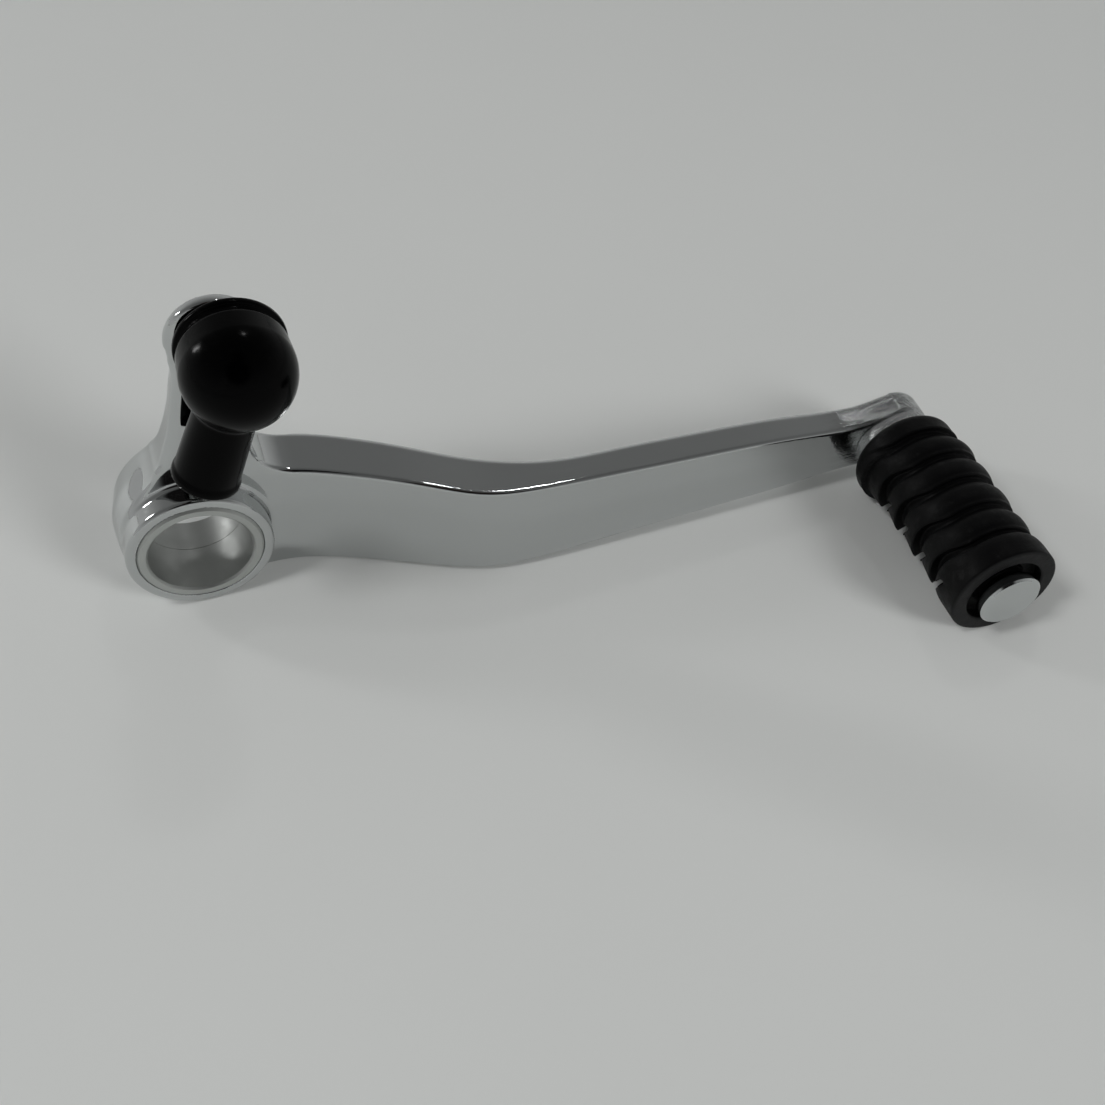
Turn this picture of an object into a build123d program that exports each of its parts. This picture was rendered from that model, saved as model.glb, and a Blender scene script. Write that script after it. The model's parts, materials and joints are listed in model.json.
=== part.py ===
from build123d import *
import os
from math import sqrt, sin, cos, radians

os.makedirs("parts", exist_ok=True)

# ---------------------------------------------------------------- dimensions (mm)
# Frame: origin on the axis of the pivot bore where its two bushes meet, +Y along
# the bore away from the rider's foot, +X towards the foot peg, +Z up with the lever standing on its hub
# and on the rubber of the peg.

# pivot hub
HUB_R = 14.1            # outer radius of the hub's front boss
BODY_R = 14.6           # the hub behind the boss is fuller and a little off centre
BODY_X, BODY_Z = -0.6, 0.5
REAR_R = 13.6           # it draws in towards the rear face
HUB_FRONT = 10.4        # the hub's front face stands this far before the origin
HUB_REAR = 7.5          # and its rear face this far behind it
BORE_R = 12.0           # bore of the forging, which the two bushes fill
BUSH_R = 10.0           # running bore of the bushes
BUSH_PROUD = 0.2        # bushes stand this far out at each end
BUSH_GAP = 0.1          # gap between the two bushes at the middle

# upper arm and its eye
FACE_Y = -5.2           # front face of the upper arm
BACK_Y = -0.4           # rear face of the upper arm near the eye
EYE_X, EYE_Z = 11.3, 45.5
EYE_R = 8.6

# lower arm
PEG_X, PEG_Z = 144.3, -3.1
END_R = 7.3             # rounded end that carries the peg
END_FRONT = -20.5
END_BACK = -14.5

# foot peg
ROD_R = 5.2
TAIL_R = 4.0
HEAD_R = 6.27
HEAD_FRONT = -67.1
HEAD_T = 2.0
BEAD_R = 8.2
RUB_REAR = -22.5
RUB_FRONT = -64.5
RUB_R = 11.0            # end flanges of the rubber
RIB_R = 10.75           # front tips of the ribs between them
RIB_LOW_R = 10.0        # rear of each rib
VALLEY_R = 9.3          # floor of the grooves
RUB_BORE = 5.25

# ball joint
STUD_X, STUD_Z = 13.5, 46.0     # the stud stands off the eye's middle, towards the peg
BALL_Y = -14.2          # ball centre, on the stud's axis
BALL_R = 4.0
NECK_R = 2.4
STUD_TAIL_R = 3.0
STUD_TAIL_L = 3.6
SEAT_R = 5.3
SOCKET_R = 6.5
SHANK_R = 4.6
SHANK_END = 22.0
THREAD_R = 2.5          # tapping radius of the M6 thread
THREAD_DEPTH = 13.5
LEAN = 22.7             # the shank leans this far from straight down, towards -X
DOME_R = 10.0
SLEEVE_R = 5.7
SLEEVE_BORE = 4.65
SLEEVE_END = 24.0
LIP_R = 9.8

# ---------------------------------------------------------------- lever forging
plan_front = [(10, -5.2), (16, -5.4), (24, -7.6), (31.5, -10.8), (41, -15.3), (47, -18.0),
              (54, -20.4), (62, -21.3), (75, -21.3), (100, -20.9), (118, -20.6), (130, -20.5)]
plan_rear = [(152, -14.5), (140, -14.6), (121, -14.0), (102, -13.7), (83, -13.5), (68, -13.2),
             (58, -10.7), (50, -7.7), (38, -2.4), (25, 2.8), (17, 4.2), (10, 4.5)]
side_top = [(6, 11.6), (18, 12.1), (31, 11.7), (41, 11.1), (54, 9.0), (66, 7.9), (78, 7.1),
            (98, 5.8), (120, 4.0), (136, 3.1), (141, 3.6)]
side_bottom = [(141, -9.7), (136, -9.5), (120, -10.4), (100, -11.3), (80, -12.1), (66, -12.8),
               (55, -13.1), (41, -13.1), (24, -13.4), (6, -13.9)]

upper_left = [(-12.6, 5.6), (-9.9, 11.0), (-6.7, 14.4), (-3.9, 18.0), (-1.1, 24.8), (0.5, 30.1),
              (2.1, 36.2), (2.9, 41.0), (EYE_X - EYE_R, EYE_Z)]
upper_right = [(EYE_X + EYE_R, EYE_Z), (19.1, 39.5), (16.9, 32.5), (14.7, 26.0), (13.6, 21.0),
               (14.4, 16.6), (16.5, 13.3), (20.0, 11.6)]

with BuildPart() as lever_arm:
    # lower arm: the bend in plan, trimmed to the tapering side outline
    with BuildSketch(Plane.XY.offset(-20)):
        with BuildLine():
            Polyline(*[(-2, -5.2), plan_front[0]])
            Spline(*plan_front)
            Polyline(plan_front[-1], (152, -20.5), plan_rear[0])
            Spline(*plan_rear)
            Polyline(plan_rear[-1], (-2, 4.5), (-2, -5.2))
        make_face()
    extrude(amount=40)
    with BuildSketch(Plane.XZ.offset(-20)):
        with BuildLine():
            Line((-2, 11.6), side_top[0])
            Spline(*side_top)
            Line(side_top[-1], side_bottom[0])
            Spline(*side_bottom)
            Polyline(side_bottom[-1], (-2, -13.9), (-2, 11.6))
        make_face()
    extrude(amount=60, mode=Mode.INTERSECT)
    # rounded end around the peg
    with BuildSketch(Plane.XZ.offset(-END_BACK)):
        with Locations((PEG_X, PEG_Z)):
            Circle(END_R)
    extrude(amount=END_BACK - END_FRONT)
    # upper arm with the eye for the ball stud
    with BuildSketch(Plane.XZ.offset(-4.0)):
        with BuildLine():
            Spline(*upper_left)
            ThreePointArc(upper_left[-1], (EYE_X, EYE_Z + EYE_R), upper_right[0])
            Spline(*upper_right)
            Polyline(upper_right[-1], (20.0, 0), (-12.6, 0), upper_left[0])
        make_face()
    extrude(amount=4.0 - FACE_Y)
    # the rear face falls away from the hub towards the eye
    with BuildSketch(Plane.YZ.offset(-20)):
        with BuildLine():
            Spline((4.0, 14.4), (3.6, 18.0), (2.2, 25.0), (0.4, 35.0), (BACK_Y, 46.0), (-0.6, 56.0))
            Polyline((-0.6, 56.0), (10, 56.0), (10, 14.4), (4.0, 14.4))
        make_face()
    extrude(amount=60, mode=Mode.SUBTRACT)
    # hub: the front boss, and the fuller body behind it
    with BuildSketch(Plane.XZ.offset(-HUB_REAR)):
        Circle(REAR_R)
    with BuildSketch(Plane.XZ.offset(-FACE_Y)):
        with Locations((BODY_X, BODY_Z)):
            Circle(BODY_R)
    loft()
    with BuildSketch(Plane.XZ.offset(-FACE_Y)):
        Circle(HUB_R)
    extrude(amount=HUB_FRONT + FACE_Y)
    # through bore for the bushes, blind holes for the stud and the peg
    with BuildSketch(Plane.XZ.offset(-HUB_REAR - 1)):
        Circle(BORE_R)
    extrude(amount=HUB_REAR + HUB_FRONT + 2, mode=Mode.SUBTRACT)
    with BuildSketch(Plane.XZ.offset(-(FACE_Y + STUD_TAIL_L))):
        with Locations((STUD_X, STUD_Z)):
            Circle(STUD_TAIL_R)
    extrude(amount=STUD_TAIL_L + 5, mode=Mode.SUBTRACT)
    with BuildSketch(Plane.XZ.offset(-(END_FRONT + 5.0))):
        with Locations((PEG_X, PEG_Z)):
            Circle(TAIL_R)
    extrude(amount=8, mode=Mode.SUBTRACT)
    # rounded rims of the hub
    front_rim = lever_arm.edges().filter_by(GeomType.CIRCLE).filter_by(
        lambda e: abs(e.radius - HUB_R) < 0.01 and abs(e.center().Y + HUB_FRONT) < 0.01)
    fillet(front_rim, 0.7)
    rear_rim = lever_arm.edges().filter_by(GeomType.CIRCLE).filter_by(
        lambda e: abs(e.radius - REAR_R) < 0.01 and abs(e.center().Y - HUB_REAR) < 0.01)
    fillet(rear_rim, 1.2)
lever_arm.part.label = "lever_arm"


# ---------------------------------------------------------------- pivot bushes
with BuildPart() as pivot_bush_front:
    with BuildSketch(Plane.XZ.offset(BUSH_GAP / 2)):
        Circle(BORE_R)
        Circle(BUSH_R, mode=Mode.SUBTRACT)
    extrude(amount=HUB_FRONT + BUSH_PROUD - BUSH_GAP / 2)
    ends = pivot_bush_front.edges().filter_by(GeomType.CIRCLE).filter_by(
        lambda e: e.center().Y < -HUB_FRONT - BUSH_PROUD + 0.01)
    chamfer(ends, 0.4)
pivot_bush_front.part.label = "pivot_bush_front"

with BuildPart() as pivot_bush_rear:
    with BuildSketch(Plane.XZ.offset(-HUB_REAR - BUSH_PROUD)):
        Circle(BORE_R)
        Circle(BUSH_R, mode=Mode.SUBTRACT)
    extrude(amount=HUB_REAR + BUSH_PROUD - BUSH_GAP / 2)
    ends = pivot_bush_rear.edges().filter_by(GeomType.CIRCLE).filter_by(
        lambda e: e.center().Y > HUB_REAR + BUSH_PROUD - 0.01)
    chamfer(ends, 0.4)
pivot_bush_rear.part.label = "pivot_bush_rear"


# ---------------------------------------------------------------- foot peg
# The peg's profiles are drawn with the radius along the sketch's x and the
# position along the peg as its y, and turned about the peg's axis.
peg_plane = Plane(origin=(PEG_X, 0, PEG_Z), x_dir=(1, 0, 0), z_dir=(0, 0, 1))
peg_axis = Axis((PEG_X, 0, PEG_Z), (0, 1, 0))

with BuildPart() as peg_rod:
    with BuildSketch(peg_plane):
        with BuildLine():
            Polyline((0, END_FRONT + 5.0), (TAIL_R, END_FRONT + 5.0), (TAIL_R, END_FRONT),
                     (ROD_R, END_FRONT), (ROD_R, HEAD_FRONT + HEAD_T), (HEAD_R, HEAD_FRONT + HEAD_T),
                     (HEAD_R, HEAD_FRONT + 0.4), (HEAD_R - 0.4, HEAD_FRONT), (0, HEAD_FRONT),
                     (0, END_FRONT + 5.0))
        make_face()
    revolve(axis=peg_axis)
peg_rod.part.label = "peg_rod"

with BuildPart() as peg_weld_bead:
    with BuildSketch(peg_plane):
        with BuildLine():
            Line((ROD_R, END_FRONT), (7.5, END_FRONT))
            ThreePointArc((7.5, END_FRONT), (BEAD_R, END_FRONT - 0.8), (7.2, END_FRONT - 1.6))
            Line((7.2, END_FRONT - 1.6), (ROD_R, END_FRONT - 1.85))
            Line((ROD_R, END_FRONT - 1.85), (ROD_R, END_FRONT))
        make_face()
    revolve(axis=peg_axis)
peg_weld_bead.part.label = "peg_weld_bead"

grooves = [-30.1, -37.0, -43.9, -51.2, -58.4]
LAND_REAR, LAND_FRONT = 1.9, -0.2       # each groove runs from 1.9 behind its line to 0.2 in front
with BuildPart() as peg_rubber:
    with BuildSketch(peg_plane):
        with BuildLine():
            Line((RUB_BORE, RUB_REAR), (RUB_R - 3, RUB_REAR))
            ThreePointArc((RUB_R - 3, RUB_REAR),
                          (RUB_R - 3 + 3 * sin(radians(45)), RUB_REAR - 3 + 3 * cos(radians(45))),
                          (RUB_R, RUB_REAR - 3))
            Polyline((RUB_R, RUB_REAR - 3), (RUB_R, grooves[0] + LAND_REAR),
                     (VALLEY_R, grooves[0] + LAND_REAR - 0.5), (VALLEY_R, grooves[0] + LAND_FRONT))
            for a, b in zip(grooves[:-1], grooves[1:]):
                Line((VALLEY_R, a + LAND_FRONT), (RIB_LOW_R, a + LAND_FRONT))
                ThreePointArc((RIB_LOW_R, a + LAND_FRONT), (RIB_R - 0.15, (a + b) / 2 + 0.6), (RIB_R, b + LAND_REAR))
                Polyline((RIB_R, b + LAND_REAR), (VALLEY_R, b + LAND_REAR - 0.5), (VALLEY_R, b + LAND_FRONT))
            Line((VALLEY_R, grooves[-1] + LAND_FRONT), (RIB_LOW_R, grooves[-1] + LAND_FRONT))
            ThreePointArc((RIB_LOW_R, grooves[-1] + LAND_FRONT), (RUB_R - 0.3, -60.0), (RUB_R, -61.5))
            Polyline((RUB_R, -61.5), (RUB_R, RUB_FRONT + 0.6), (RUB_R - 0.6, RUB_FRONT), (7.8, RUB_FRONT),
                     (7.8, RUB_FRONT + 2.5), (RUB_BORE, RUB_FRONT + 2.5), (RUB_BORE, RUB_REAR))
        make_face()
    revolve(axis=peg_axis)
    # the grooves are squarer and deeper below
    for y in grooves[1:]:
        with BuildSketch(Plane.XZ.offset(-(y + LAND_REAR))):
            with Locations((PEG_X, PEG_Z)):
                Circle(12.5)
                Circle(8.9, mode=Mode.SUBTRACT)
                with Locations((0, 0)):
                    Rectangle(30, 15, align=(Align.CENTER, Align.MIN), rotation=-20, mode=Mode.SUBTRACT)
        extrude(amount=LAND_REAR - LAND_FRONT, mode=Mode.SUBTRACT)
peg_rubber.part.label = "peg_rubber"


# ---------------------------------------------------------------- ball joint
ball = (STUD_X, BALL_Y, STUD_Z)
stud_plane = Plane(origin=ball, x_dir=(1, 0, 0), z_dir=(0, 0, 1))
stud_axis = Axis(ball, (0, 1, 0))
down = (-sin(radians(LEAN)), 0, -cos(radians(LEAN)))
shank_plane = Plane(origin=ball, x_dir=(0, 1, 0), z_dir=down)
FACE = FACE_Y - BALL_Y      # distance from the ball centre to the arm's face

with BuildPart() as ball_stud:
    cap_y = sqrt(BALL_R ** 2 - NECK_R ** 2)
    with BuildSketch(stud_plane):
        with BuildLine():
            ThreePointArc((0, -BALL_R), (BALL_R, 0), (NECK_R, cap_y))
            Polyline((NECK_R, cap_y), (NECK_R, FACE - 1.0), (5.0, FACE - 1.0), (5.0, FACE),
                     (STUD_TAIL_R, FACE), (STUD_TAIL_R, FACE + STUD_TAIL_L), (0, FACE + STUD_TAIL_L),
                     (0, -BALL_R))
        make_face()
    revolve(axis=stud_axis)
ball_stud.part.label = "ball_stud"

with BuildPart() as ball_seat:
    r = BALL_R + 0.03
    mouth = 2.25
    with BuildSketch(stud_plane):
        with BuildLine():
            Polyline((2.5, -4.05), (SEAT_R, -4.05), (SEAT_R, mouth), (sqrt(r * r - mouth * mouth), mouth))
            ThreePointArc((sqrt(r * r - mouth * mouth), mouth), (r, 0), (2.5, -sqrt(r * r - 2.5 ** 2)))
            Line((2.5, -sqrt(r * r - 2.5 ** 2)), (2.5, -4.05))
        make_face()
    revolve(axis=stud_axis)
ball_seat.part.label = "ball_seat"

with BuildPart() as closing_plate:
    with BuildSketch(Plane.XZ.offset(-(BALL_Y - 4.1))):
        with Locations((STUD_X, STUD_Z)):
            Circle(SEAT_R)
    extrude(amount=0.55)
    chamfer(closing_plate.edges().group_by(Axis.Y)[0], 0.15)
closing_plate.part.label = "closing_plate"

with BuildPart() as snap_ring:
    with BuildSketch(Plane.XZ.offset(-(BALL_Y - 4.7))):
        with Locations((STUD_X, STUD_Z)):
            Circle(5.7)
            Circle(4.5, mode=Mode.SUBTRACT)
            with Locations((5.1, 0)):
                Rectangle(2.4, 2.6, mode=Mode.SUBTRACT)
    extrude(amount=0.5)
snap_ring.part.label = "snap_ring"

with BuildPart() as joint_housing:
    # turned body around the seat
    with BuildSketch(stud_plane):
        with BuildLine():
            Polyline((0, -5.8), (5.7, -5.8), (SOCKET_R, -5.0), (SOCKET_R, 3.3), (6.0, 3.8), (0, 3.8), (0, -5.8))
        make_face()
    revolve(axis=stud_axis)
    # shank for the linkage rod
    with BuildSketch(shank_plane):
        Circle(SHANK_R)
    extrude(amount=SHANK_END)
    chamfer(joint_housing.edges().filter_by(GeomType.CIRCLE).sort_by(Axis(ball, down))[-1], 0.5)
    # seat pocket, ring groove and the flared mouth around the stud's neck
    with BuildSketch(stud_plane):
        with BuildLine():
            Polyline((0, -6.5), (SEAT_R, -6.5), (SEAT_R, -5.25), (5.75, -5.25), (5.75, -4.66),
                     (SEAT_R, -4.66), (SEAT_R, 2.25), (3.9, 2.25), (4.9, 5.2), (0, 5.2), (0, -6.5))
        make_face()
    revolve(axis=stud_axis, mode=Mode.SUBTRACT)
    with BuildSketch(shank_plane.offset(SHANK_END - THREAD_DEPTH)):
        Circle(THREAD_R)
    extrude(amount=THREAD_DEPTH + 1, mode=Mode.SUBTRACT)
joint_housing.part.label = "joint_housing"

with BuildPart() as dust_boot:
    # dome around the socket, drawn in to a neck behind it
    with BuildSketch(stud_plane):
        with BuildLine():
            ThreePointArc((0, -DOME_R), (DOME_R * sin(radians(45)), -DOME_R * cos(radians(45))), (DOME_R, 0))
            Line((DOME_R, 0), (DOME_R - 0.25, 3.6))
            ThreePointArc((DOME_R - 0.25, 3.6), (9.6, 4.9), (9.1, 5.5))
            Polyline((9.1, 5.5), (8.9, 6.3), (0, 6.3), (0, -DOME_R))
        make_face()
    revolve(axis=stud_axis)
    # sleeve over the shank
    with BuildSketch(shank_plane):
        Circle(SLEEVE_R)
    extrude(amount=SLEEVE_END)
    with BuildSketch(shank_plane.offset(SLEEVE_END - 1.6)):
        Circle(SLEEVE_R + 0.5)
    extrude(amount=1.6)
    # cavity
    with BuildSketch(stud_plane):
        with BuildLine():
            ThreePointArc((0, -8.8), (8.8 * sin(radians(45)), -8.8 * cos(radians(45))), (8.8, 0))
            Polyline((8.8, 0), (8.6, 3.6), (7.4, 4.6), (7.4, 7.0), (0, 7.0), (0, -8.8))
        make_face()
    revolve(axis=stud_axis, mode=Mode.SUBTRACT)
    with BuildSketch(shank_plane):
        Circle(SLEEVE_BORE)
    extrude(amount=SLEEVE_END + 1, mode=Mode.SUBTRACT)
dust_boot.part.label = "dust_boot"

with BuildPart() as boot_lip:
    with BuildSketch(stud_plane):
        with BuildLine():
            Polyline((NECK_R + 0.08, 6.4), (9.2, 6.4))
            ThreePointArc((9.2, 6.4), (LIP_R, 7.15), (9.2, FACE - 1.1))
            Polyline((9.2, FACE - 1.1), (NECK_R + 0.08, FACE - 1.1), (NECK_R + 0.08, 6.4))
        make_face()
    revolve(axis=stud_axis)
boot_lip.part.label = "boot_lip"


# ---------------------------------------------------------------- export
export_step(lever_arm.part, "parts/lever_arm.step")
export_step(pivot_bush_front.part, "parts/pivot_bush_front.step")
export_step(pivot_bush_rear.part, "parts/pivot_bush_rear.step")
export_step(peg_rod.part, "parts/peg_rod.step")
export_step(peg_weld_bead.part, "parts/peg_weld_bead.step")
export_step(peg_rubber.part, "parts/peg_rubber.step")
export_step(ball_stud.part, "parts/ball_stud.step")
export_step(ball_seat.part, "parts/ball_seat.step")
export_step(closing_plate.part, "parts/closing_plate.step")
export_step(snap_ring.part, "parts/snap_ring.step")
export_step(joint_housing.part, "parts/joint_housing.step")
export_step(dust_boot.part, "parts/dust_boot.step")
export_step(boot_lip.part, "parts/boot_lip.step")

for p in (lever_arm, pivot_bush_front, pivot_bush_rear, peg_rod, peg_weld_bead, peg_rubber, ball_stud,
          ball_seat, closing_plate, snap_ring, joint_housing, dust_boot, boot_lip):
    b = p.part.bounding_box()
    print(p.part.label, len(p.part.solids()), p.part.is_valid, round(p.part.volume, 1),
          [round(v, 2) for v in (b.min.X, b.min.Y, b.min.Z, b.max.X, b.max.Y, b.max.Z)])
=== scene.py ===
import json
import math
import bpy
import numpy as np
from mathutils import Matrix, Vector


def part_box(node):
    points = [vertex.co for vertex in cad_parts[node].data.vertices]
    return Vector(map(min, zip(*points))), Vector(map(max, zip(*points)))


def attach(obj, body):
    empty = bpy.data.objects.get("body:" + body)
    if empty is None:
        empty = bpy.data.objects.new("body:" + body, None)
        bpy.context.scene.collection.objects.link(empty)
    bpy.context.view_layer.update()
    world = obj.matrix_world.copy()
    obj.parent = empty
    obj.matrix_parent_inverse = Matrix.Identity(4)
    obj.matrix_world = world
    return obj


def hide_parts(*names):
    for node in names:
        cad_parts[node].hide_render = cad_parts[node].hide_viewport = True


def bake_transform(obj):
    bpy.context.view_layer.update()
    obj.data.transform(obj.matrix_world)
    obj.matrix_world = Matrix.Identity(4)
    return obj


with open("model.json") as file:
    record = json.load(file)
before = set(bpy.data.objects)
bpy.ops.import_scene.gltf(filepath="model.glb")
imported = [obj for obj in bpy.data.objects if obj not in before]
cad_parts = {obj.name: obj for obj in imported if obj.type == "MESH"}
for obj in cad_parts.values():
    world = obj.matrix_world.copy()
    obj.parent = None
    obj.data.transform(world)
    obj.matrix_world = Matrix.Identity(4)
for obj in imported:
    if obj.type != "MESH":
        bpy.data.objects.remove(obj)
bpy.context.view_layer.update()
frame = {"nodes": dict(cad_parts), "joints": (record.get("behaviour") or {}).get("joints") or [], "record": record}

# ---------------------------------------------------------------- reference positions, in millimetres
record = frame["record"]
joints = {j["name"]: j for j in frame["joints"]}
BALL = np.array(joints["joint_tilt"]["pos_m"], float) * 1000
DOWN = np.array(joints["joint_roll"]["axis"], float)
DOWN = DOWN / np.linalg.norm(DOWN)
SIDE = np.cross(np.array([0.0, 1.0, 0.0]), DOWN)


def mm_box(node):
    a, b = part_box(node)
    return np.array(a) * 1000, np.array(b) * 1000


rod_lo, rod_hi = mm_box("peg_rod")
rub_lo, rub_hi = mm_box("peg_rubber")
bead_lo, bead_hi = mm_box("peg_weld_bead")
bush_lo, bush_hi = mm_box("pivot_bush_front")
lever_lo, lever_hi = mm_box("lever_arm")
lip_lo, lip_hi = mm_box("boot_lip")
PEG_X, PEG_Z = (rod_lo[0] + rod_hi[0]) / 2, (rod_lo[2] + rod_hi[2]) / 2
RUB_Y0, RUB_Y1 = rub_lo[1], rub_hi[1]
BORE_R = bush_hi[0]
HUB_R = -lever_lo[2]
END_R = 7.3
FACE_Y = -5.2
HUB_FRONT = -bush_lo[1] - 0.2
HUB_REAR = lever_hi[1]
FLOOR = min(lever_lo[2], rub_lo[2]) / 1000


# ---------------------------------------------------------------- small field toolkit
def spline(xs, ys, q):
    """Natural cubic spline through (xs, ys) at q, carried on in a straight line past its ends."""
    xs, ys = np.asarray(xs, float), np.asarray(ys, float)
    n = len(xs)
    h = np.diff(xs)
    a = np.zeros((n, n))
    b = np.zeros(n)
    a[0, 0] = a[-1, -1] = 1
    for i in range(1, n - 1):
        a[i, i - 1], a[i, i], a[i, i + 1] = h[i - 1], 2 * (h[i - 1] + h[i]), h[i]
        b[i] = 6 * ((ys[i + 1] - ys[i]) / h[i] - (ys[i] - ys[i - 1]) / h[i - 1])
    m = np.linalg.solve(a, b)
    qc = np.clip(q, xs[0], xs[-1])
    i = np.clip(np.searchsorted(xs, qc) - 1, 0, n - 2)
    t0, t1 = xs[i + 1] - qc, qc - xs[i]
    v = (
        m[i] * t0**3 / (6 * h[i])
        + m[i + 1] * t1**3 / (6 * h[i])
        + (ys[i] / h[i] - m[i] * h[i] / 6) * t0
        + (ys[i + 1] / h[i] - m[i + 1] * h[i] / 6) * t1
    )
    s0 = (ys[1] - ys[0]) / h[0] - h[0] * m[1] / 6
    s1 = (ys[-1] - ys[-2]) / h[-1] + h[-1] * m[-2] / 6
    return v + np.where(q < xs[0], (q - xs[0]) * s0, 0) + np.where(q > xs[-1], (q - xs[-1]) * s1, 0)


class Curve:
    """A smooth height over one coordinate, with its slope."""

    def __init__(self, pts, sigma, lo, hi):
        p = sorted(pts)
        step = 0.1
        self.x = np.arange(lo, hi + step, step)
        v = spline([a for a, _ in p], [b for _, b in p], self.x)
        k = int(4 * sigma / step)
        w = np.exp(-0.5 * (np.arange(-k, k + 1) * step / sigma) ** 2)
        w /= w.sum()
        left = v[0] + (v[1] - v[0]) * np.arange(-k, 0)
        right = v[-1] + (v[-1] - v[-2]) * np.arange(1, k + 1)
        self.v = np.convolve(np.concatenate([left, v, right]), w, "valid")
        self.s = np.gradient(self.v, step)

    def __call__(self, q):
        return np.interp(q, self.x, self.v), np.interp(q, self.x, self.s)


def inter(a, b, r):
    """Both of two fields, with the edge between them rounded to radius r."""
    return np.minimum(-r, np.maximum(a, b)) + np.hypot(np.maximum(a + r, 0), np.maximum(b + r, 0))


def union(a, b, r):
    """Either of two fields, with the corner between them filled to radius r."""
    return np.maximum(r, np.minimum(a, b)) - np.hypot(np.maximum(r - a, 0), np.maximum(r - b, 0))


def smooth(lo, hi, v):
    t = np.clip((v - lo) / (hi - lo), 0, 1)
    return t * t * (3 - 2 * t)


def net(field, lo, hi, h, relax=4, newton=3):
    """A closed quad mesh of field = 0: one vertex in each crossed cell of a grid, pulled onto the surface."""
    ax = [np.arange(lo[i], hi[i] + h, h) for i in range(3)]
    f = field(
        ax[0][:, None, None].astype(np.float64),
        ax[1][None, :, None].astype(np.float64),
        ax[2][None, None, :].astype(np.float64),
    )
    f = np.broadcast_to(f, tuple(len(a) for a in ax))
    s = f < 0
    c = np.zeros([n - 1 for n in s.shape], np.int8)
    for i in (0, 1):
        for j in (0, 1):
            for k in (0, 1):
                c += s[i : i + c.shape[0], j : j + c.shape[1], k : k + c.shape[2]]
    act = (c > 0) & (c < 8)
    idx = -np.ones(c.shape, np.int64)
    cells = np.argwhere(act)
    idx[act] = np.arange(len(cells))
    base = np.array([ax[0][0], ax[1][0], ax[2][0]])
    acc = np.zeros((len(cells), 3))
    cnt = np.zeros(len(cells))
    cu = [(i, j, k) for i in (0, 1) for j in (0, 1) for k in (0, 1)]
    for p in cu:
        for d in range(3):
            if p[d]:
                continue
            q = tuple(p[e] + (e == d) for e in range(3))
            fa = f[cells[:, 0] + p[0], cells[:, 1] + p[1], cells[:, 2] + p[2]]
            fb = f[cells[:, 0] + q[0], cells[:, 1] + q[1], cells[:, 2] + q[2]]
            m = (fa < 0) != (fb < 0)
            t = np.where(m, fa / np.where(m, fa - fb, 1), 0)
            for e in range(3):
                acc[:, e] += np.where(m, p[e] + (t if e == d else 0), 0)
            cnt += m
    v = base + (cells + acc / cnt[:, None]) * h
    quads = []
    for d in range(3):
        e, g = (d + 1) % 3, (d + 2) % 3
        a = np.take(s, np.arange(s.shape[d] - 1), axis=d)
        b = np.take(s, np.arange(1, s.shape[d]), axis=d)
        x = np.argwhere(a != b)
        x = x[(x[:, e] > 0) & (x[:, g] > 0) & (x[:, e] < s.shape[e] - 1) & (x[:, g] < s.shape[g] - 1)]
        def at(de, dg):
            y = x.copy()
            y[:, e] += de
            y[:, g] += dg
            return idx[y[:, 0], y[:, 1], y[:, 2]]
        qd = np.stack([at(-1, -1), at(0, -1), at(0, 0), at(-1, 0)], 1)
        inside_first = s[x[:, 0], x[:, 1], x[:, 2]]
        qd[~inside_first] = qd[~inside_first][:, ::-1]
        quads.append(qd)
    quads = np.concatenate(quads)
    edges = np.concatenate([quads[:, [0, 1]], quads[:, [1, 2]], quads[:, [2, 3]], quads[:, [3, 0]]])
    edges = np.concatenate([edges, edges[:, ::-1]])

    def grad(p, e=0.02):
        g = np.zeros_like(p)
        for i in range(3):
            a, b = p.copy(), p.copy()
            a[:, i] += e
            b[:, i] -= e
            g[:, i] = (field(a[:, 0], a[:, 1], a[:, 2]) - field(b[:, 0], b[:, 1], b[:, 2])) / (2 * e)
        return g

    def project(p, times):
        for _ in range(times):
            g = grad(p)
            fv = field(p[:, 0], p[:, 1], p[:, 2])
            step = fv / np.maximum((g * g).sum(1), 0.2)
            step = np.clip(step, -0.5 * h, 0.5 * h)
            p = p - step[:, None] * g
        return p

    def average(p):
        tot = np.zeros_like(p)
        for i in range(p.shape[1]):
            tot[:, i] = np.bincount(edges[:, 0], p[edges[:, 1], i], len(p))
        return tot / np.bincount(edges[:, 0], minlength=len(p))[:, None]

    v = project(v, newton)
    for _ in range(relax):
        n = grad(v)
        n /= np.maximum(np.linalg.norm(n, axis=1), 1e-6)[:, None]
        move = average(v) - v
        move -= (move * n).sum(1)[:, None] * n
        v = project(v + 0.6 * move, 1)
    v = project(v, 1)
    n = grad(v, 0.03)
    n /= np.maximum(np.linalg.norm(n, axis=1), 1e-6)[:, None]
    for _ in range(1):
        n = 0.5 * n + 0.5 * average(n)
        n /= np.maximum(np.linalg.norm(n, axis=1), 1e-6)[:, None]
    return v, quads, n


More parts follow.
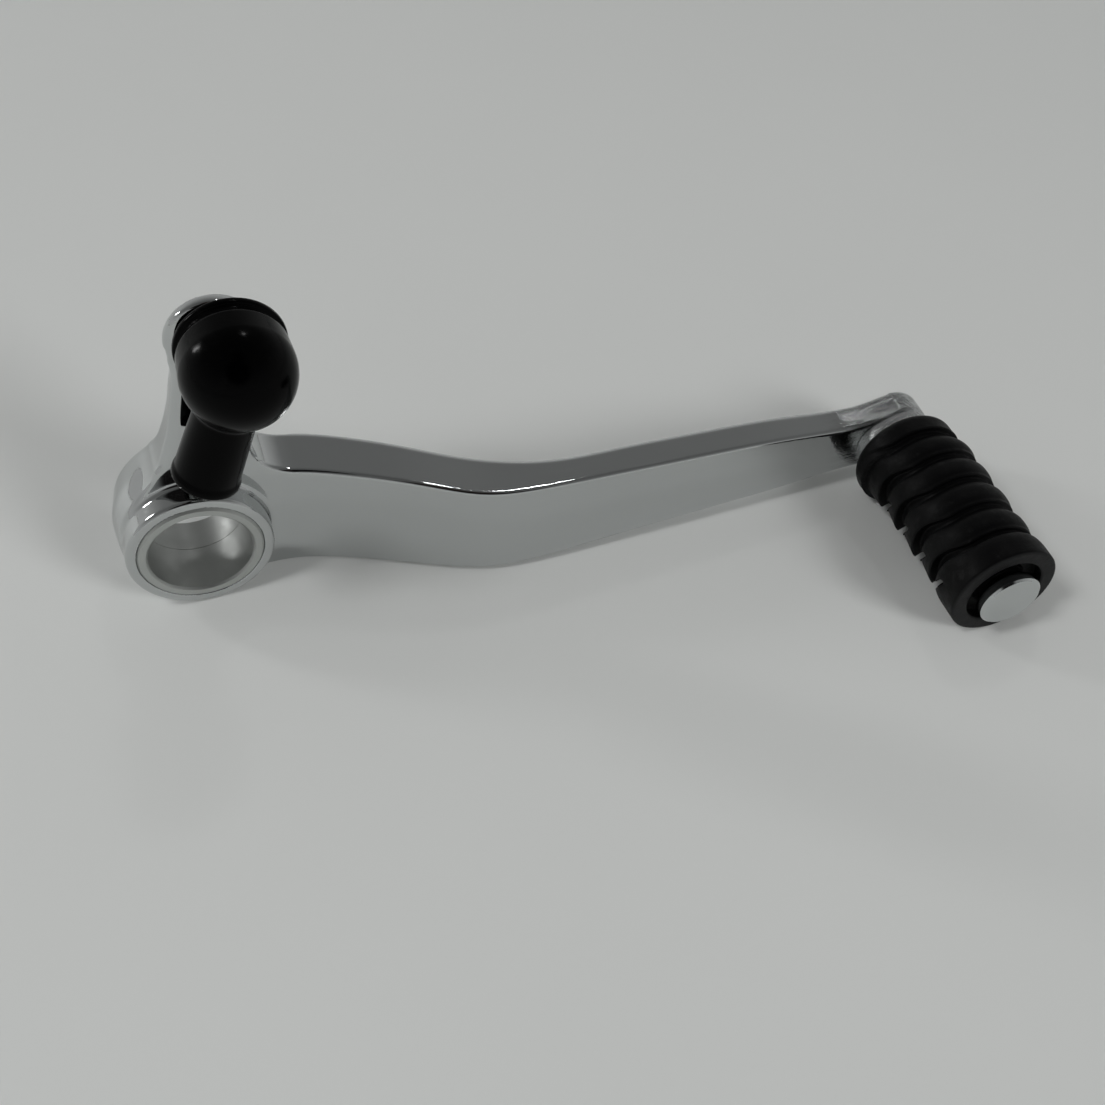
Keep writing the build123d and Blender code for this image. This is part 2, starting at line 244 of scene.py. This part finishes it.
def mesh_object(name, v_mm, faces, normals=None):
    me = bpy.data.meshes.new(name)
    me.vertices.add(len(v_mm))
    me.vertices.foreach_set("co", (np.asarray(v_mm) / 1000).astype(np.float32).ravel())
    k = faces.shape[1]
    me.loops.add(len(faces) * k)
    me.loops.foreach_set("vertex_index", faces.ravel().astype(np.int32))
    me.polygons.add(len(faces))
    me.polygons.foreach_set("loop_start", (np.arange(len(faces)) * k).astype(np.int32))
    me.update(calc_edges=True)
    me.polygons.foreach_set("use_smooth", np.ones(len(faces), bool))
    me.validate()
    if normals is not None:
        me.normals_split_custom_set_from_vertices(normals.astype(np.float32).tolist())
    me.update()
    o = bpy.data.objects.new(name, me)
    bpy.context.scene.collection.objects.link(o)
    return o


# ---------------------------------------------------------------- the forged lever
F_PTS = [(-30, -5.2), (-10, -5.2), (10, -5.2), (16, -5.4), (24, -7.6), (31.5, -10.8), (41, -15.3), (47, -18.0), (54, -20.4), (62, -21.3), (75, -21.3), (100, -20.9), (118, -20.6), (130, -20.5), (150, -20.5), (160, -20.5)]
R_PTS = [(-30, 4.9), (-10, 4.9), (10, 6.0), (17, 5.9), (25, 4.1), (38, -1.9), (50, -7.7), (58, -10.7), (68, -13.2), (83, -13.35), (102, -13.1), (121, -13.0), (131, -13.3), (138, -13.6), (146, -13.4), (160, -13.3)]
T_PTS = [(-10, 11.4), (6, 11.6), (18, 12.1), (31, 11.7), (41, 11.1), (54, 9.0), (66, 7.9), (78, 7.1), (98, 5.8), (120, 4.0), (133, 2.7), (137, 2.8), (142, 3.65), (146, 4.15), (152, 4.2), (160, 4.2)]
B_PTS = [(-10, -14.0), (6, -13.95), (24, -13.4), (41, -13.1), (55, -13.1), (66, -12.8), (80, -12.1), (100, -11.3), (120, -10.4), (136, -9.6), (141, -9.95), (145, -10.35), (152, -10.4), (160, -10.4)]
plan_f = Curve(F_PTS, 2.0, -25, 158)
plan_r = Curve(R_PTS, 2.2, -25, 158)
side_t = Curve(T_PTS, 1.4, -9, 158)
side_b = Curve(B_PTS, 1.4, -9, 158)
up_l = Curve([(-20, -13.0), (-8, -13.6), (0, -13.6), (5.6, -12.5), (11, -9.9), (14.4, -6.9), (18, -4.2), (24.8, -1.1), (30.1, 0.5), (36.2, 2.0), (40, 2.75), (43, 2.4), (45.5, 2.3), (50, 2.3), (60, 2.3)], 1.2, -20, 60)
up_r = Curve([(-2, 13.2), (10, 13.2), (21, 13.5), (26, 14.8), (32.5, 17.0), (39.5, 19.0), (43, 19.8), (45.4, 19.9), (50, 19.9), (60, 19.9)], 1.2, -20, 60)
up_y = Curve([(-20, 6.4), (5, 6.4), (11, 6.2), (14, 5.3), (17, 4.3), (25, 2.5), (33, 0.8), (38, 0.2), (43, 0.0), (56, 0.0)], 1.0, -22, 60)
up_b = Curve([(20, 7.0), (30, 6.6), (38, 5.9), (44, 5.5), (50, 5.4), (60, 5.4)], 1.0, 18, 60)
EYE_X, EYE_Z, EYE_R = 11.1, 45.7, 8.95
hub_r = Curve([(-14, 14.1), (-9, 14.1), (-5.2, 14.15), (-2, 14.4), (1, 14.45), (4, 14.15), (7.5, 13.6), (13, 13.2)], 0.8, -14, 13)
hub_x = Curve([(-14, 0.0), (-9, 0.0), (-5.2, -0.05), (-2, -0.40), (1, -0.52), (4, -0.3), (7.5, -0.05), (13, 0.0)], 0.8, -14, 13)


def unit(v, s):
    return v / np.sqrt(1 + s * s)


def lever_field(X, Y, Z):
    tv, ts = side_t(X)
    bv, bs = side_b(X)
    arm2 = np.maximum(np.maximum(unit(Z - tv, ts), unit(bv - Z, bs)), 2.0 - X)
    end2 = np.hypot(X - PEG_X, Z - PEG_Z) - END_R
    arm2 = np.where(X > PEG_X, end2, arm2)
    lv, ls = up_l(Z)
    rv, rs = up_r(Z)
    up2 = np.maximum(np.maximum(unit(lv - X, ls), unit(X - rv, rs)), -4.0 - Z)
    eye2 = np.hypot(X - EYE_X, Z - EYE_Z) - EYE_R
    up2 = np.where(Z > EYE_Z, eye2, up2)
    limb2 = union(arm2, up2, 8.0)
    hr, _ = hub_r(Y)
    hx, _ = hub_x(Y)
    floor_cut = -HUB_R - Z
    hub = np.maximum(np.hypot(X - hx, Z + 0.85 * hx) - hr, floor_cut)
    shape2 = np.maximum(union(limb2, hub, 1.5), floor_cut)
    fv, fs = plan_f(X)
    rv1, rs1 = plan_r(X)
    rv2, rs2 = up_y(Z)
    front = unit(fv - Y, fs)
    # the eye's back is domed, and the dome runs out into the flat back of the neck
    across = np.where(Z > EYE_Z, np.hypot(X - EYE_X, Z - EYE_Z) / EYE_R, np.abs(X - 0.5 * (lv + rv)) / (0.5 * (rv - lv)))
    depth, _ = up_b(Z)
    domed = ((across**2.4 + (np.maximum(Y - FACE_Y, 0) / depth) ** 2.4) ** (1 / 2.4) - 1) * depth
    w = smooth(36, 44, Z)
    rear = inter(unit(Y - rv1, rs1), (1 - w) * unit(Y - rv2, rs2) + w * domed, 2.0)
    r_rear = 2.4 - 1.7 * smooth(28, 42, Z)
    limb = inter(shape2, rear, r_rear)
    drum = inter(hub, Y - HUB_REAR, 1.5)
    fill = inter(inter(union(rear, hub, 7.0), shape2, 2.0), Y - HUB_REAR, 1.5)
    body = np.minimum(np.minimum(limb, drum), fill)
    r_front = 0.8 + 0.35 * smooth(120, 135, X) + 1.5 * smooth(16, 24, Z) * (1 - smooth(2, 7, X))
    body = inter(body, front, r_front)
    boss = inter(np.hypot(X, Z) - HUB_R, -HUB_FRONT - Y, 0.75)
    boss = np.maximum(boss, Y - 1.0)
    body = union(body, boss, 0.12 + 1.0 * smooth(-7, 3, Z))
    body = inter(body, BORE_R + 0.02 - np.hypot(X, Z), 0.3)
    stud = np.maximum(np.hypot(X - BALL[0], Z - BALL[2]) - 3.01, Y - (FACE_Y + 3.65))
    body = np.maximum(body, -stud)
    tail = np.maximum(np.hypot(X - PEG_X, Z - PEG_Z) - 4.01, Y - (rod_hi[1] + 0.02))
    body = np.maximum(body, -tail)
    return body


CELL = 0.36
v, q, n = net(lever_field, (-17.5, -23.0, -16.0), (154.0, 12.0, 56.5), CELL)
lever = mesh_object("forged_lever", v, q, n)
print("lever", len(v), v.min(0), v.max(0))
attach(lever, "lever")
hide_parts("lever_arm")

# ---------------------------------------------------------------- the rubber boot: lip, groove, dome and sleeve in one
LIP_Y = (lip_lo[1], lip_hi[1])
SLEEVE_R = 5.7
SLEEVE_END = 24.0


def boot_field(X, Y, Z):
    px, py, pz = X - BALL[0], Y - BALL[1], Z - BALL[2]
    along = px * DOWN[0] + pz * DOWN[2]
    side = px * SIDE[0] + pz * SIDE[2]
    ball = np.sqrt(px * px + py * py + pz * pz)
    ring = np.hypot(px, pz)
    drum = inter(ring - (10.0 - 0.06 * np.maximum(py, 0)), py - 5.2, 0.9)
    dome = np.where(py < 0, ball - 10.0, np.maximum(drum, -py))
    waist = inter(ring - 9.0, np.abs(py - 4.6) - 2.2, 0.3)
    lip = inter(ring - 9.8, np.abs(Y - (LIP_Y[0] + LIP_Y[1]) / 2) - 0.76, 0.55)
    rad = np.hypot(side, py)
    grow = 0.35 * smooth(8.0, SLEEVE_END, along) + 0.28 * smooth(SLEEVE_END - 2.2, SLEEVE_END - 0.9, along)
    sleeve = inter(rad - (SLEEVE_R - 0.12 + grow), np.abs(along - 12.0) - 12.0, 0.3)
    # the sleeve's back is flattened
    sleeve = inter(sleeve, py - 5.3, 0.5)
    out = union(dome, sleeve, 0.7)
    out = union(np.minimum(out, waist), lip, 0.3)
    hollow = np.maximum(ball - 8.7, py - 6.8)
    eye = np.maximum(ring - 5.3, np.abs(py - 6.5) - 2.6)
    bore = np.maximum(rad - 4.66, -along)
    return np.maximum(out, -np.minimum(np.minimum(hollow, bore), eye))


b0 = np.array([BALL[0] - 16.5, lip_lo[1] - 20.0, BALL[2] - 26.5])
b1 = np.array([BALL[0] + 12.0, lip_hi[1] + 1.0, BALL[2] + 12.0])
v, q, n = net(boot_field, b0, b1, 0.27)
boot = mesh_object("boot", v, q)
print("boot", len(v), v.min(0), v.max(0))
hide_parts("dust_boot", "boot_lip")
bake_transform(boot)

# ---------------------------------------------------------------- the peg's rubber
GROOVES = [-30.1, -37.0, -43.9, -51.2, -58.4]
TIP, FOOT = 1.9, -0.2
SLANT = 1.9
RUB_REAR = RUB_Y1 - 1.0
RIM_R = 11.0


def rubber_field(X, Y, Z):
    # the sleeve sits a little low and inwards at its rear end
    sag = smooth(-34.0, -27.5, Y)
    px, pz = X - PEG_X + 1.0 * sag, Z - PEG_Z + 0.35 * sag
    r = np.hypot(px, pz)
    # turn of the point about the peg: 1 on the side towards the hub and below, 0 on top and on the far side
    turn_in = (-0.87 * px - 0.50 * pz) / np.maximum(r, 1e-6)
    w = smooth(0.05, 0.80, turn_in)
    G = Y - SLANT * w
    g = sorted(GROOVES)
    starts = g
    ends = g[1:] + [RUB_Y1 + TIP * 0 + 30]
    rib_s = np.full_like(Y + 0.0 * r, RIM_R)
    rib_b = np.full_like(Y + 0.0 * r, RIM_R)
    for i, y0 in enumerate(g):
        y1 = g[i + 1] if i + 1 < len(g) else RUB_Y1 + 2.0
        span = (G > y0) & (G <= y1)
        # the rib's front is at its own groove, where it is highest; it falls away towards its rear
        t = np.clip((G - (y0 + TIP)) / max(y1 + FOOT - (y0 + TIP), 1e-3), 0, 1)
        saw = 10.55 - 0.75 * t ** 1.15
        bulge = 10.65 - 0.65 * np.abs(2 * t - 0.8) ** 2.6
        if i == len(g) - 1:
            saw = bulge = 10.85 - 0.25 * t
        rib_s = np.where(span, saw, rib_s)
        rib_b = np.where(span, bulge, rib_b)
    t = np.clip((g[0] - G) / 3.0, 0, 1)
    head = 10.05 + 0.95 * np.sqrt(np.clip(1 - (1 - t) ** 2, 0, 1))
    rib_s = np.where(G <= g[0], head, rib_s)
    rib_b = np.where(G <= g[0], head, rib_b)
    body = (r - (w * rib_s + (1 - w) * rib_b)) * 0.96
    body = inter(body, Y - RUB_REAR, 2.6)
    out = inter(body, RUB_Y0 - Y, 0.55)
    for i, y0 in enumerate(g):
        deep = 9.35 - 0.85 * w if i < len(g) - 1 else 9.6 + 1.3 * w
        half = 0.5 * (TIP - FOOT) + 0.1 - 0.55 * (1 - w)
        mid = y0 + 0.5 * (TIP + FOOT) - 0.25 * (1 - w)
        cut = inter(np.abs(G - mid) - half, deep - r, 0.2)
        out = inter(out, -cut, 0.16)
    # narrow slanted slots across the inner lower side, just ahead of four of the ribs
    across = 0.831 * px + 0.556 * pz + 8.35
    for y0 in g[:4]:
        along = -0.282 * px + 0.862 * Y + 0.422 * pz - (0.862 * (y0 + 3.8) - 0.5)
        out = inter(out, -inter(np.abs(along) - 0.56, across, 0.1), 0.1)
    well = inter(r - 7.8, Y - (RUB_Y0 + 2.5), 0.3)
    out = inter(out, -well, 0.35)
    return np.maximum(out, 5.26 - np.hypot(X - PEG_X, Z - PEG_Z))


v, q, n = net(rubber_field, (PEG_X - 13, RUB_Y0 - 1.5, PEG_Z - 13), (PEG_X + 13, RUB_Y1 + 1.5, PEG_Z + 13), 0.3, relax=2)
v[:, 2] = np.maximum(v[:, 2], FLOOR * 1000)
rubber = mesh_object("peg_sleeve", v, q)
print("rubber", len(v), v.min(0), v.max(0))
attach(rubber, "lever")
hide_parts("peg_rubber")

# ---------------------------------------------------------------- the weld between arm and peg
rng = np.random.default_rng(7)
amp = rng.normal(0, 1, 9)
pha = rng.uniform(0, 2 * math.pi, 9)


def bead_field(X, Y, Z):
    px, pz = X - PEG_X, Z - PEG_Z
    r = np.hypot(px, pz)
    th = np.arctan2(pz, px)
    lump = sum(0.05 * amp[k] * np.sin((k + 3) * th + pha[k]) for k in range(9))
    low = smooth(-0.2, 0.9, (-0.87 * px - 0.50 * pz) / np.maximum(r, 1e-6))
    ring = inter(r - (7.3 + 2.1 * low + (0.8 - 0.7 * low) * lump), np.abs(Y - (RUB_REAR + bead_hi[1]) / 2) - (bead_hi[1] - RUB_REAR) / 2, 0.3)
    return np.maximum(ring, 5.25 - r)


v, q, n = net(bead_field, (PEG_X - 11, bead_lo[1] - 2, PEG_Z - 11), (PEG_X + 11, bead_hi[1] + 1, PEG_Z + 11), 0.24)
bead = mesh_object("weld_bead", v, q)
print("bead", len(v), v.min(0), v.max(0))
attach(bead, "lever")
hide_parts("peg_weld_bead")


# ---------------------------------------------------------------- materials
class Tree:
    def __init__(self, name):
        self.m = bpy.data.materials.new(name)
        self.m.use_nodes = True
        self.t = self.m.node_tree
        self.t.nodes.clear()
        self.out = self.t.nodes.new("ShaderNodeOutputMaterial")
        self.p = self.t.nodes.new("ShaderNodeBsdfPrincipled")
        self.t.links.new(self.p.outputs[0], self.out.inputs[0])
        self.co = self.t.nodes.new("ShaderNodeTexCoord").outputs["Object"]

    def link(self, a, b):
        self.t.links.new(a, b)

    def put(self, name, value):
        s = self.p.inputs[name]
        if hasattr(value, "links") or isinstance(value, bpy.types.NodeSocket):
            self.link(value, s)
        else:
            s.default_value = value

    def mapped(self, scale, co=None):
        n = self.t.nodes.new("ShaderNodeMapping")
        n.inputs["Scale"].default_value = scale
        self.link(co or self.co, n.inputs["Vector"])
        return n.outputs[0]

    def noise(self, scale, detail=3.0, rough=0.55, co=None, dist=0.0):
        n = self.t.nodes.new("ShaderNodeTexNoise")
        n.inputs["Scale"].default_value = scale
        n.inputs["Detail"].default_value = detail
        n.inputs["Roughness"].default_value = rough
        n.inputs["Distortion"].default_value = dist
        self.link(co or self.co, n.inputs["Vector"])
        return n.outputs["Fac"]

    def voronoi(self, scale, co=None, feature="F1"):
        n = self.t.nodes.new("ShaderNodeTexVoronoi")
        n.feature = feature
        n.inputs["Scale"].default_value = scale
        self.link(co or self.co, n.inputs["Vector"])
        return n.outputs["Distance"]

    def math(self, op, a, b=None, c=None):
        n = self.t.nodes.new("ShaderNodeMath")
        n.operation = op
        for i, x in enumerate((a, b, c)):
            if x is None:
                continue
            if isinstance(x, bpy.types.NodeSocket):
                self.link(x, n.inputs[i])
            else:
                n.inputs[i].default_value = x
        return n.outputs[0]

    def ramp(self, fac, stops):
        n = self.t.nodes.new("ShaderNodeValToRGB")
        e = n.color_ramp.elements
        while len(e) < len(stops):
            e.new(0.5)
        for el, (p, c) in zip(e, stops):
            el.position = p
            el.color = (*c, 1) if hasattr(c, "__len__") else (c, c, c, 1)
        self.link(fac, n.inputs[0])
        return n.outputs[0]

    def range(self, fac, a, b, c, d):
        n = self.t.nodes.new("ShaderNodeMapRange")
        n.interpolation_type = "SMOOTHSTEP"
        self.link(fac, n.inputs[0])
        for i, x in enumerate((a, b, c, d)):
            n.inputs[i + 1].default_value = x
        return n.outputs[0]

    def mix(self, fac, a, b):
        n = self.t.nodes.new("ShaderNodeMix")
        n.data_type = "RGBA"
        for s, x in ((n.inputs[0], fac), (n.inputs[6], a), (n.inputs[7], b)):
            if isinstance(x, bpy.types.NodeSocket):
                self.link(x, s)
            else:
                s.default_value = (*x, 1) if hasattr(x, "__len__") else x
        return n.outputs[2]

    def bump(self, height, strength, distance, normal=None):
        n = self.t.nodes.new("ShaderNodeBump")
        n.inputs["Strength"].default_value = strength
        n.inputs["Distance"].default_value = distance
        self.link(height, n.inputs["Height"])
        if normal is not None:
            self.link(normal, n.inputs["Normal"])
        return n.outputs[0]

    def split(self):
        n = self.t.nodes.new("ShaderNodeSeparateXYZ")
        self.link(self.co, n.inputs[0])
        return n.outputs

    def join(self, x, y, z):
        n = self.t.nodes.new("ShaderNodeCombineXYZ")
        for s, a in zip(n.inputs, (x, y, z)):
            if isinstance(a, bpy.types.NodeSocket):
                self.link(a, s)
            else:
                s.default_value = a
        return n.outputs[0]


def chrome(name, base, rough, peel, weld=False):
    t = Tree(name)
    x, y, z = t.split()
    cloud = t.noise(45, 3)
    fine = t.noise(420, 2)
    drag = t.noise(1.0, 4, 0.6, t.mapped((60, 700, 700)))
    a = tuple(c * 0.94 for c in base)
    near_end = 0.0 if name == "peg_chrome" else t.range(x, 0.126, 0.139, 0.0, 1.0)
    # the plating is duller and streaky round the welded end
    streak = t.range(t.noise(1.0, 5, 0.75, t.mapped((120, 700, 700))), 0.38, 0.60, 0.1, 1.0)
    wear_and_shade = 0.0
    if name == "lever_chrome":
        wear_and_shade = t.math("MULTIPLY", near_end, streak)
    # on the weld bead the colour darkens towards its top: painted shade standing in for the darker reflection there
    if weld:
        wear_and_shade = t.range(z, -0.004, 0.002, 0.0, 0.9)
    t.put("Base Color", t.mix(wear_and_shade, t.mix(cloud, a, base), tuple(c * 0.60 for c in base)))
    t.put("Metallic", 1.0)
    r = t.math("ADD", t.range(drag, 0.35, 0.75, rough, rough + 0.07), t.math("MULTIPLY", near_end, 0.07))
    t.put("Roughness", r)
    h1 = t.noise(150, 2)
    n = t.bump(h1, peel, 0.0012)
    n = t.bump(fine, peel * 0.8, 0.0003, n)
    grit = t.noise(900, 4, 0.65)
    lumps = t.math("MULTIPLY", grit, near_end)
    n = t.bump(lumps, 0.7 if not weld else 0.8, 0.0004, n)
    t.put("Normal", n)
    return t.m


def turned(name, base, rough):
    t = Tree(name)
    x, y, z = t.split()
    rad = t.math("SQRT", t.math("ADD", t.math("MULTIPLY", x, x), t.math("MULTIPLY", z, z)))
    lines = t.noise(1.0, 3, 0.6, t.join(t.math("MULTIPLY", rad, 9000), t.math("MULTIPLY", y, 5200), 0.0))
    patch = t.noise(240, 3)
    # inside the bore the wall is painted darker than the end ring: painted shade in the recess
    bore = t.range(rad, 0.0101, 0.0105, 1.0, 0.0)
    ring = t.mix(patch, tuple(c * 0.9 for c in base), base)
    t.put("Base Color", t.mix(bore, ring, tuple(c * 0.80 for c in base)))
    t.put("Metallic", 0.9)
    t.put("Roughness", t.range(patch, 0.3, 0.7, rough - 0.05, rough + 0.08))
    n = t.bump(lines, 0.22, 0.00004)
    t.put("Normal", t.bump(patch, 0.08, 0.0002, n))
    return t.m


def rubber_mat(name, base, rough, grain, dust, spec):
    t = Tree(name)
    big = t.noise(160, 3)
    fine = t.noise(2600, 3, 0.6)
    mid = t.noise(620, 4, 0.6)
    specks = t.range(t.voronoi(900), 0.0, 0.10, 1.0, 0.0)
    wear_and_shade = t.range(t.noise(300, 5, 0.7), 0.56, 0.74, 0.0, 1.0)
    c = t.mix(big, tuple(v * 0.7 for v in base), base)
    c = t.mix(t.math("MULTIPLY", wear_and_shade, dust), c, (0.09, 0.09, 0.092))
    c = t.mix(t.math("MULTIPLY", specks, dust * 0.25), c, (0.3, 0.3, 0.3))
    # the flat outer end of the peg rubber is worn to a dull dark grey
    c = t.mix(t.range(t.split()[1], -0.0644, -0.0641, 1.0, 0.0), c, t.mix(mid, (0.008, 0.008, 0.0083), (0.014, 0.014, 0.0145)))
    t.put("Base Color", c)
    t.put("Roughness", t.math("ADD", t.range(mid, 0.3, 0.7, rough - 0.06, rough + 0.06), t.math("MULTIPLY", wear_and_shade, 0.12 * dust)))
    t.put("Specular IOR Level", spec)
    n = t.bump(fine, grain, 0.00012)
    n = t.bump(mid, grain * 0.7, 0.0003, n)
    t.put("Normal", n)
    return t.m


def polymer(name, base):
    t = Tree(name)
    n0 = t.noise(300, 3)
    t.put("Base Color", t.mix(n0, tuple(c * 0.9 for c in base), base))
    t.put("Roughness", t.range(n0, 0.3, 0.7, 0.38, 0.5))
    t.put("Normal", t.bump(t.noise(1500, 2), 0.1, 0.0001))
    return t.m


made = {
    "lever_chrome": chrome("lever_chrome", (0.565, 0.58, 0.58), 0.035, 0.02),
    "peg_chrome": chrome("peg_chrome", (0.59, 0.61, 0.61), 0.05, 0.02),
    "weld_chrome": chrome("weld_chrome", (0.70, 0.71, 0.71), 0.12, 0.05, True),
    "bush_steel": turned("bush_steel", (0.52, 0.535, 0.52), 0.46),
    "stud_steel": turned("stud_steel", (0.58, 0.58, 0.58), 0.25),
    "socket_zinc": turned("socket_zinc", (0.60, 0.61, 0.60), 0.32),
    "peg_rubber": rubber_mat("peg_rubber", (0.0016, 0.0016, 0.0018), 0.50, 0.3, 0.10, 0.12),
    "boot_rubber": rubber_mat("boot_rubber", (0.0003, 0.0003, 0.0004), 0.17, 0.04, 0.01, 0.060),
    "seat_polymer": polymer("seat_polymer", (0.75, 0.73, 0.66)),
}
slots = {s["node"]: s["material_slot"] for s in record["subparts"]}
for node, obj in frame["nodes"].items():
    obj.data.materials.clear()
    obj.data.materials.append(made[slots[node]])
for obj, s in ((lever, "lever_chrome"), (boot, "boot_rubber"), (rubber, "peg_rubber"), (bead, "weld_chrome")):
    obj.data.materials.append(made[s])

# ---------------------------------------------------------------- table, light and camera
bpy.ops.mesh.primitive_plane_add(size=4.0, location=(0.07, 0.0, FLOOR))
table = bpy.context.object
table.name = "table_top"
t = Tree("table_top")
t.put("Base Color", t.mix(t.noise(9, 4), (0.745, 0.76, 0.745), (0.775, 0.79, 0.775)))
t.put("Roughness", t.range(t.noise(30, 3), 0.3, 0.7, 0.50, 0.62))
t.put("Specular IOR Level", 0.2)
t.put("Normal", t.bump(t.noise(500, 3), 0.03, 0.0003))
table.data.materials.append(t.m)

world = bpy.data.worlds.new("studio")
bpy.context.scene.world = world
world.use_nodes = True
nt = world.node_tree
nt.nodes.clear()
wo = nt.nodes.new("ShaderNodeOutputWorld")
bg = nt.nodes.new("ShaderNodeBackground")
tc = nt.nodes.new("ShaderNodeTexCoord")
sx = nt.nodes.new("ShaderNodeSeparateXYZ")
rp = nt.nodes.new("ShaderNodeValToRGB")
mr = nt.nodes.new("ShaderNodeMapRange")
nt.links.new(tc.outputs["Generated"], sx.inputs[0])
nt.links.new(sx.outputs[2], mr.inputs[0])
mr.inputs[1].default_value, mr.inputs[2].default_value = -1.0, 1.0
nt.links.new(mr.outputs[0], rp.inputs[0])
stops = [(0.0, 0.4), (0.49, 0.44), (0.56, 0.43), (0.68, 0.32), (0.78, 0.19), (0.88, 0.155), (1.0, 0.10)]
el = rp.color_ramp.elements
while len(el) < len(stops):
    el.new(0.5)
for e, (p, c) in zip(el, stops):
    e.position = p
    e.color = (c, c * 1.01, c * 1.0, 1)
dark = rp.outputs[0]


def card(previous, direction, inner, outer, colour):
    """A soft round patch of the surroundings, of one colour, about a direction."""
    d = Vector(direction).normalized()
    dot = nt.nodes.new("ShaderNodeVectorMath")
    dot.operation = "DOT_PRODUCT"
    nt.links.new(tc.outputs["Generated"], dot.inputs[0])
    dot.inputs[1].default_value = d
    r = nt.nodes.new("ShaderNodeMapRange")
    r.interpolation_type = "SMOOTHSTEP"
    nt.links.new(dot.outputs["Value"], r.inputs[0])
    r.inputs[1].default_value = math.cos(math.radians(outer))
    r.inputs[2].default_value = math.cos(math.radians(inner))
    mx = nt.nodes.new("ShaderNodeMix")
    mx.data_type = "RGBA"
    nt.links.new(r.outputs[0], mx.inputs[0])
    nt.links.new(previous, mx.inputs[6])
    mx.inputs[7].default_value = (*colour, 1)
    return mx.outputs[2]


sky = card(rp.outputs[0], (-0.05, -0.74, 0.66), 17, 27, (0.012, 0.011, 0.011))
sky = card(sky, (0.05, -0.35, 0.94), 7, 15, (0.03, 0.022, 0.02))
nt.links.new(sky, bg.inputs[0])
nt.links.new(bg.outputs[0], wo.inputs[0])
bg.inputs[1].default_value = 1.0


def softbox(name, direction, distance, w, h, power, mirrored=True, target=(0.07, -0.02, 0.0)):
    d = Vector(direction).normalized()
    ld = bpy.data.lights.new(name, "AREA")
    ld.shape = "RECTANGLE"
    ld.size, ld.size_y = w, h
    ld.energy = power
    o = bpy.data.objects.new(name, ld)
    bpy.context.scene.collection.objects.link(o)
    o.location = Vector(target) + d * distance
    o.rotation_mode = "QUATERNION"
    o.rotation_quaternion = d.to_track_quat("Z", "Y")
    o.visible_glossy = mirrored
    return o


softbox("front_right", (0.477, -0.713, 0.513), 1.9, 0.55, 0.55, 11.3, mirrored=False)
softbox("window", (-0.70, 0.56, 0.36), 1.9, 0.16, 0.40, 4.2)
softbox("ceiling", (0.31, 0.47, 0.83), 2.2, 0.16, 0.14, 1.4)
softbox("left_fill", (-0.55, -0.09, 0.83), 1.3, 0.3, 0.3, 3.9, mirrored=False)
softbox("overhead_fill", (-0.5, -0.1, 0.85), 1.7, 1.6, 1.6, 0.9, mirrored=False)

cam_data = bpy.data.cameras.new("camera")
cam = bpy.data.objects.new("camera", cam_data)
bpy.context.scene.collection.objects.link(cam)
bpy.context.scene.camera = cam
cam_data.sensor_width = 36.0
cam_data.lens = 45.48
D = math.radians(0.278)


def turn(a):
    x, y, z = a
    return Vector((x * math.cos(D) - z * math.sin(D), y, x * math.sin(D) + z * math.cos(D)))


az, elv, roll = math.radians(-19.67), math.radians(50.0), math.radians(1.18)
fwd = Vector((-math.sin(az) * math.cos(elv), math.cos(az) * math.cos(elv), -math.sin(elv)))
right = fwd.cross(Vector((0, 0, 1))).normalized()
up = right.cross(fwd).normalized()
r2 = right * math.cos(roll) + up * math.sin(roll)
u2 = up * math.cos(roll) - right * math.sin(roll)
r2, u2, f2 = turn(r2), turn(u2), turn(fwd)
m = Matrix((
    (r2.x, u2.x, -f2.x, 0.0048),
    (r2.y, u2.y, -f2.y, -0.1935),
    (r2.z, u2.z, -f2.z, 0.2055),
    (0, 0, 0, 1),
))
cam.matrix_world = m
cam_data.clip_start = 0.005
cam_data.clip_end = 20
bpy.context.scene.view_settings.view_transform = "Standard"
bpy.context.scene.view_settings.look = "None"
bpy.context.scene.cycles.caustics_reflective = True
bpy.context.scene.cycles.max_bounces = 12
